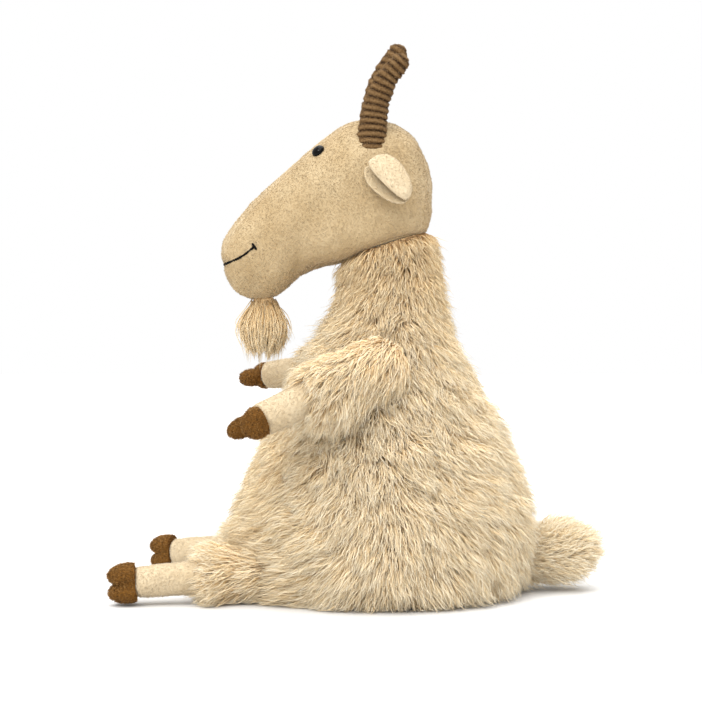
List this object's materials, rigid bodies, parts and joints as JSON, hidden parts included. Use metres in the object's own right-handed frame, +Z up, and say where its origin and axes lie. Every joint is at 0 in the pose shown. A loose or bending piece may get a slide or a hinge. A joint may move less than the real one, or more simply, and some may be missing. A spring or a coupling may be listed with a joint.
{
  "type": "plush goat",
  "caption": "Seated soft-toy goat with a shaggy long-pile body, smooth plush head and legs, ribbed corduroy horns, cloven hooves, tufted beard and tail.",
  "frame": {"origin": "centre of the goat's bounding box, on the surface it sits on", "axes": "+Z up, -Y the way the goat faces, +X to the goat's own left"},
  "size_m": [0.2034, 0.3003, 0.3426],
  "materials": {
    "long_pile_fur": "matte",
    "tan_plush": "matte",
    "pale_plush": "matte",
    "hoof_plush": "matte",
    "corduroy": "matte",
    "base_cloth": "matte",
    "eye_plastic": "gloss",
    "washer_plastic": "matte",
    "black_thread": "matte",
    "fibre_fill": "matte",
    "bean_pouch": "matte"
  },
  "bodies": {
    "torso": {"body_cover_left": "long_pile_fur", "body_cover_right": "long_pile_fur", "base_panel": "base_cloth", "bean_pouch": "bean_pouch", "body_stuffing": "fibre_fill"},
    "head": {"head_gusset": "pale_plush", "head_side_left": "tan_plush", "head_side_right": "tan_plush", "head_stuffing": "fibre_fill", "mouth_stitch": "black_thread", "eye_left": "eye_plastic", "eye_right": "eye_plastic", "eye_washer_left": "washer_plastic", "eye_washer_right": "washer_plastic", "horn_left_cover": "corduroy", "horn_left_stuffing": "fibre_fill", "horn_right_cover": "corduroy", "horn_right_stuffing": "fibre_fill"},
    "ear_left": {"ear_left_back": "pale_plush", "ear_left_lining": "tan_plush"},
    "ear_right": {"ear_right_back": "pale_plush", "ear_right_lining": "tan_plush"},
    "beard": {"beard": "long_pile_fur"},
    "front_leg_left": {"front_leg_left_fur_cover": "long_pile_fur", "front_leg_left_plush_cover": "pale_plush", "front_leg_left_hoof": "hoof_plush", "front_leg_left_stuffing": "fibre_fill"},
    "front_leg_right": {"front_leg_right_fur_cover": "long_pile_fur", "front_leg_right_plush_cover": "pale_plush", "front_leg_right_hoof": "hoof_plush", "front_leg_right_stuffing": "fibre_fill"},
    "hind_leg_left": {"hind_leg_left_fur_cover": "long_pile_fur", "hind_leg_left_plush_cover": "pale_plush", "hind_leg_left_hoof": "hoof_plush", "hind_leg_left_stuffing": "fibre_fill"},
    "hind_leg_right": {"hind_leg_right_fur_cover": "long_pile_fur", "hind_leg_right_plush_cover": "pale_plush", "hind_leg_right_hoof": "hoof_plush", "hind_leg_right_stuffing": "fibre_fill"},
    "tail": {"tail_cover": "long_pile_fur", "tail_stuffing": "fibre_fill"}
  },
  "joints": [
    {"name": "head_nod", "type": "hinge", "parent": "torso", "child": "head", "pos_m": [0, 0.014, 0.204], "axis": [-1, 0, 0], "range_deg": [-8, 14]},
    {"name": "ear_left_flap", "type": "hinge", "parent": "head", "child": "ear_left", "pos_m": [0.0385, 0.0025, 0.2615], "axis": [0.2277, -0.7245, -0.6506], "range_deg": [-4, 50]},
    {"name": "ear_right_flap", "type": "hinge", "parent": "head", "child": "ear_right", "pos_m": [-0.0385, 0.0025, 0.2615], "axis": [0.2277, 0.7245, 0.6506], "range_deg": [-4, 50]},
    {"name": "beard_swing", "type": "hinge", "parent": "head", "child": "beard", "pos_m": [0, -0.0625, 0.1735], "axis": [-1, 0, 0], "range_deg": [-10, 25]},
    {"name": "front_leg_left_swing", "type": "hinge", "parent": "torso", "child": "front_leg_left", "pos_m": [0.0525, 0.008, 0.14], "axis": [-0.9703, 0, -0.2419], "range_deg": [-30, 45]},
    {"name": "front_leg_right_swing", "type": "hinge", "parent": "torso", "child": "front_leg_right", "pos_m": [-0.0525, 0.008, 0.14], "axis": [-0.9703, 0, 0.2419], "range_deg": [-46, 29]},
    {"name": "hind_leg_left_lift", "type": "hinge", "parent": "torso", "child": "hind_leg_left", "pos_m": [0.0455, -0.0672, 0.0175], "axis": [-1, 0, 0], "range_deg": [0, 55]},
    {"name": "hind_leg_right_lift", "type": "hinge", "parent": "torso", "child": "hind_leg_right", "pos_m": [-0.0536, -0.0625, 0.0175], "axis": [-1, 0, 0], "range_deg": [0, 55]},
    {"name": "tail_lift", "type": "hinge", "parent": "torso", "child": "tail", "pos_m": [0, 0.1016, 0.021], "axis": [1, 0, 0], "range_deg": [-3, 50]}
  ]
}
